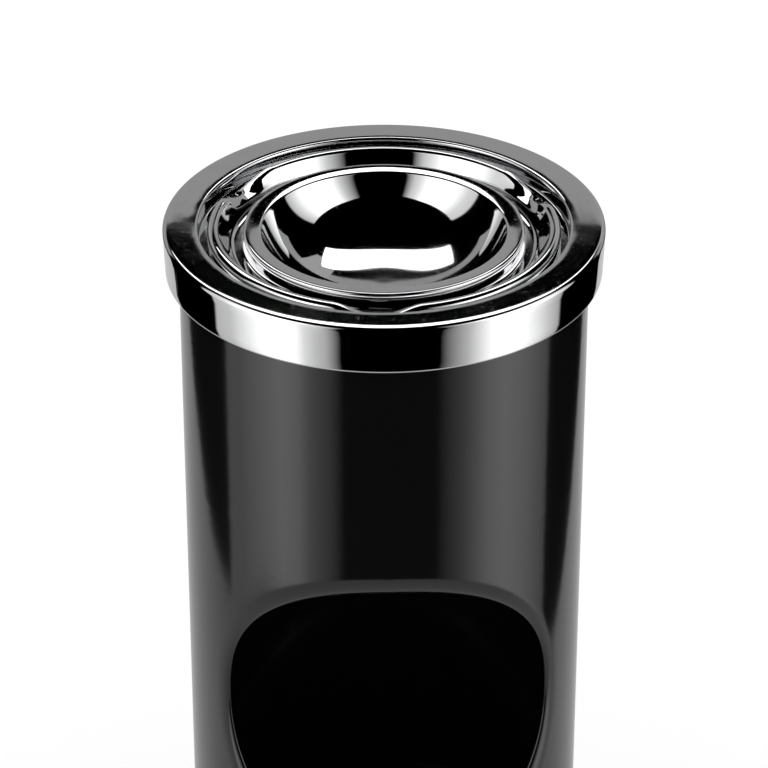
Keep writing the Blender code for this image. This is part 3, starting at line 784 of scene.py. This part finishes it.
# The bail's centre line: a stub through the ear, a tight bend, then half an oval out to the reach. The wire
# is a circle carried along it, and each end is a dome.
def bailHandle():
    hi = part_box("bail_handle")[1]
    wire = liner["wire"]
    bend = liner["bend"]
    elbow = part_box("bail_ear_right")[0].x - gap - bend
    reach = hi.y - wire
    q = np.radians(np.linspace(0, 90, 14))
    corner = np.stack([elbow + bend - bend * np.sin(q), bend - bend * np.cos(q)], 1)
    a = np.linspace(0, math.pi, 140)[1:-1]
    oval = np.stack([elbow * np.cos(a), bend + (reach - bend) * np.sin(a)], 1)
    right = np.vstack([[[hi.x - wire, 0.0]], [[elbow + bend + 0.0012, 0.0]], corner])
    left = right[::-1] * np.array([-1.0, 1.0])
    path = np.vstack([right, oval, left])
    along = np.gradient(path, axis=0)
    along /= np.linalg.norm(along, axis=1)[:, None]
    dome = np.radians(np.linspace(90, 0, 7))[:-1]
    tip = path[0] - along[0] * wire * np.sin(dome)[:, None]
    tail = (path[-1] + along[-1] * wire * np.sin(dome)[:, None])[::-1]
    centres = np.vstack([tip, path, tail])
    alongAll = np.vstack([np.repeat(along[:1], 6, 0), along, np.repeat(along[-1:], 6, 0)])
    radius = np.concatenate([wire * np.cos(dome), np.full(len(path), wire), (wire * np.cos(dome))[::-1]])
    c = np.linspace(0, 2 * math.pi, 20, endpoint=False)[None, :]
    x = centres[:, :1] - alongAll[:, 1:] * radius[:, None] * np.cos(c)
    y = centres[:, 1:] + alongAll[:, :1] * radius[:, None] * np.cos(c)
    z = pivotHeight() + radius[:, None] * np.sin(c)
    piece = makePiece("bailHandle", gridMesh("bailHandle", np.stack([x, y, z], -1), False, True), 60.0)
    return stand(piece, "bail", "spring_steel", wireFinish, "bail_handle")


linerBucket()
linerBase()
bailEar("bailEarLeft", "bail_ear_left")
bailEar("bailEarRight", "bail_ear_right")
for number in range(1, liner["rivetCount"] + 1):
    rivet(f"earRivet{number}", f"ear_rivet_{number}", "liner", "galvanised", zincFinish,
          liner["rivetShank"], liner["rivetHead"], liner["rivetDome"])
bailHandle()
print("liner made")


# The studio. Angles are degrees round the bin from the camera's side, positive to the right, and glow is
# what a mirror sees. The bin stands on white, and only its reflections see the lamps and boards.
studio = {
    "turn": -1.9,
    "boardDistance": 1.6,
    "boardLow": -1.0,
    "boardHigh": 2.33,       # at the front, falling by boardFall a degree beyond 45 degrees
    "boardFall": 0.0045,
    "boardFoot": 0.62,       # share of the glow that is left at a board's foot
    "boardFull": 0.6,        # height from which the glow is whole
    "leftLamp": ((-98, 0.0), (-96, 0.95), (-86, 1.1), (-68, 2.2), (-58, 2.9), (-48, 2.6), (-41, 1.5),
                 (-36, 1.15), (-30, 0.85), (-25, 0.35), (-22, 0.0)),
    "rightLamp": ((29, 0.0), (33, 0.3), (37, 0.55), (44, 0.95), (52, 1.7), (59, 2.4), (70, 2.7), (84, 1.9),
                  (94, 1.2), (102, 0.75), (104, 0.0)),
    "tableLeft": -0.72,
    "tableRight": 0.60,
    "tableFront": -0.62,
    "tableCurve": 0.45,
    "tableBack": 6.0,
    "tableDrop": 0.004,
    "tableGlow": 0.65,
    "greyLeft": 150.0,
    "greyRight": 169.0,
    "greyLow": 20.0,
    "greyHigh": 38.0,
    "greyDistance": 2.0,
    "greyGlow": 0.48,
    "wallDistance": 2.5,
    "wallReach": 3.0,
    "wallBelow": 0.6,        # how far the wall goes below the bin's top
    "wallAngle": 27.67,      # degrees up to the wall's upper edge from the bin's top
    "wallGlow": 0.40,
    "boomHeight": 1.2,
    "boomLeft": -0.81,
    "boomRight": 0.63,
    "boomFront": 0.93,
    "boomBack": 1.88,
    "boomGlow": 3.0,
    "floorReach": 40.0,
    "floorGrey": 0.82,
    "roomLight": 1.28,
}


def glowFinish():
    finish = Finish("lamp_face")
    glow = finish.node("Attribute", {"attribute_name": "glow"}, None, "Fac")
    lamp = finish.node("Emission", None, {"Color": (1.0, 1.0, 1.0, 1.0), "Strength": glow})
    finish.tree.links.new(lamp.socket, finish.output.inputs["Surface"])
    finish.material.cycles.emission_sampling = "NONE"
    return finish.material


lampFinish = glowFinish()


# A board that only reflections see, from a grid of points and the glow at each.
def board(name, points, glow):
    mesh = gridMesh(name, points)
    mesh.attributes.new("glow", "FLOAT", "POINT").data.foreach_set("value", glow.astype(np.float32).ravel())
    mesh.materials.append(lampFinish)
    made = bpy.data.objects.new(name, mesh)
    made.rotation_euler.z = math.radians(studio["turn"])
    bpy.context.scene.collection.objects.link(made)
    made.visible_camera = False
    made.visible_diffuse = False
    made.visible_shadow = False
    made.visible_transmission = False
    made.visible_volume_scatter = False
    return made


# A lamp curved round the bin: at angle a it stands at (sin a, -cos a) times its distance.
def curvedLamp(name, stops):
    angles, glows = np.array(stops).T
    a = np.linspace(angles[0], angles[-1], 120)
    around, share = np.meshgrid(np.radians(a), np.linspace(0, 1, 24))
    high = studio["boardHigh"] - studio["boardFall"] * np.maximum(np.abs(a) - 45, 0)
    up = studio["boardLow"] + (high - studio["boardLow"]) * share
    d = studio["boardDistance"]
    points = np.stack([d * np.sin(around), -d * np.cos(around), up], -1)
    foot = studio["boardFoot"]
    fade = foot + (1 - foot) * smooth(up, studio["boardLow"], studio["boardFull"])
    return board(name, points, np.interp(a, angles, glows)[None] * fade)


def flatBoard(name, corner, across, up, glow, steps=16):
    s, t = np.meshgrid(np.linspace(0, 1, steps), np.linspace(0, 1, steps))
    points = np.array(corner) + s[..., None] * np.array(across) + t[..., None] * np.array(up)
    return board(name, points, np.full(s.shape, glow))


# The table's front edge is half an ellipse: front + curve * (1 - sqrt(1 - share^2)). Its back is straight.
def tableTop():
    share, back = np.meshgrid(np.sin(np.linspace(-math.pi / 2, math.pi / 2, 60)), np.linspace(0, 1, 16))
    middle = (studio["tableRight"] + studio["tableLeft"]) / 2
    half = (studio["tableRight"] - studio["tableLeft"]) / 2
    front = studio["tableFront"] + studio["tableCurve"] * (1 - np.sqrt(1 - share ** 2))
    y = front + (studio["tableBack"] - front) * back
    points = np.stack([middle + half * share, y, np.full_like(y, -studio["tableDrop"])], -1)
    board("tableTop", points, np.full(y.shape, studio["tableGlow"]))


def buildStudio():
    curvedLamp("leftLamp", studio["leftLamp"])
    curvedLamp("rightLamp", studio["rightLamp"])
    tableTop()
    top = cadBounds[1].z
    d = studio["wallDistance"]
    reach = studio["wallReach"]
    below = studio["wallBelow"]
    rise = d * math.tan(math.radians(studio["wallAngle"]))
    flatBoard("backWall", (-reach, d, top - below), (2 * reach, 0, 0), (0, 0, rise + below),
              studio["wallGlow"])
    flatBoard("boomLamp", (studio["boomLeft"], studio["boomFront"], top + studio["boomHeight"]),
              (studio["boomRight"] - studio["boomLeft"], 0, 0),
              (0, studio["boomBack"] - studio["boomFront"], 0), studio["boomGlow"])
    d = studio["greyDistance"]
    around = np.radians([studio["greyLeft"], studio["greyRight"]])
    low, high = top + d * np.tan(np.radians([studio["greyLow"], studio["greyHigh"]]))
    near, far = np.stack([d * np.sin(around), -d * np.cos(around), [low, low]], 1)
    flatBoard("greyBoard", near, far - near, (0, 0, high - low), studio["greyGlow"])


def paleFloor():
    finish = Finish("pale_floor")
    grey = studio["floorGrey"]
    shader = finish.node("BsdfDiffuse", None, {"Color": (grey, grey, grey, 1.0)})
    finish.tree.links.new(shader.socket, finish.output.inputs["Surface"])
    line = np.linspace(-studio["floorReach"], studio["floorReach"], 3)
    s, t = np.meshgrid(line, line)
    mesh = gridMesh("floor", np.stack([s, t, np.zeros_like(s)], -1))
    mesh.materials.append(finish.material)
    floor = bpy.data.objects.new("floor", mesh)
    bpy.context.scene.collection.objects.link(floor)
    floor.visible_glossy = False


def whiteRoom():
    world = bpy.data.worlds.new("whiteRoom")
    world.use_nodes = True
    background = world.node_tree.nodes["Background"]
    background.inputs["Color"].default_value = (1.0, 1.0, 1.0, 1.0)
    background.inputs["Strength"].default_value = studio["roomLight"]
    world.cycles_visibility.glossy = False
    bpy.context.scene.world = world
    bpy.context.scene.view_settings.view_transform = "Standard"


buildStudio()
paleFloor()
whiteRoom()
print("studio ready")


# The camera: a long lens that looks down on the bin's top.
view = {"lens": 170.84, "tilt": 59.772, "back": 1.6025, "rise": 0.8402, "turn": -1.9}


def placeCamera():
    camera = bpy.data.cameras.new("camera")
    camera.lens = view["lens"]
    camera.sensor_width = 36.0
    camera.clip_end = 100.0
    holder = bpy.data.objects.new("camera", camera)
    turn = math.radians(view["turn"])
    holder.location = (view["back"] * math.sin(turn), -view["back"] * math.cos(turn),
                       cadBounds[1].z + view["rise"])
    holder.rotation_euler = (math.radians(view["tilt"]), 0.0, turn)
    bpy.context.scene.collection.objects.link(holder)
    bpy.context.scene.camera = holder


placeCamera()
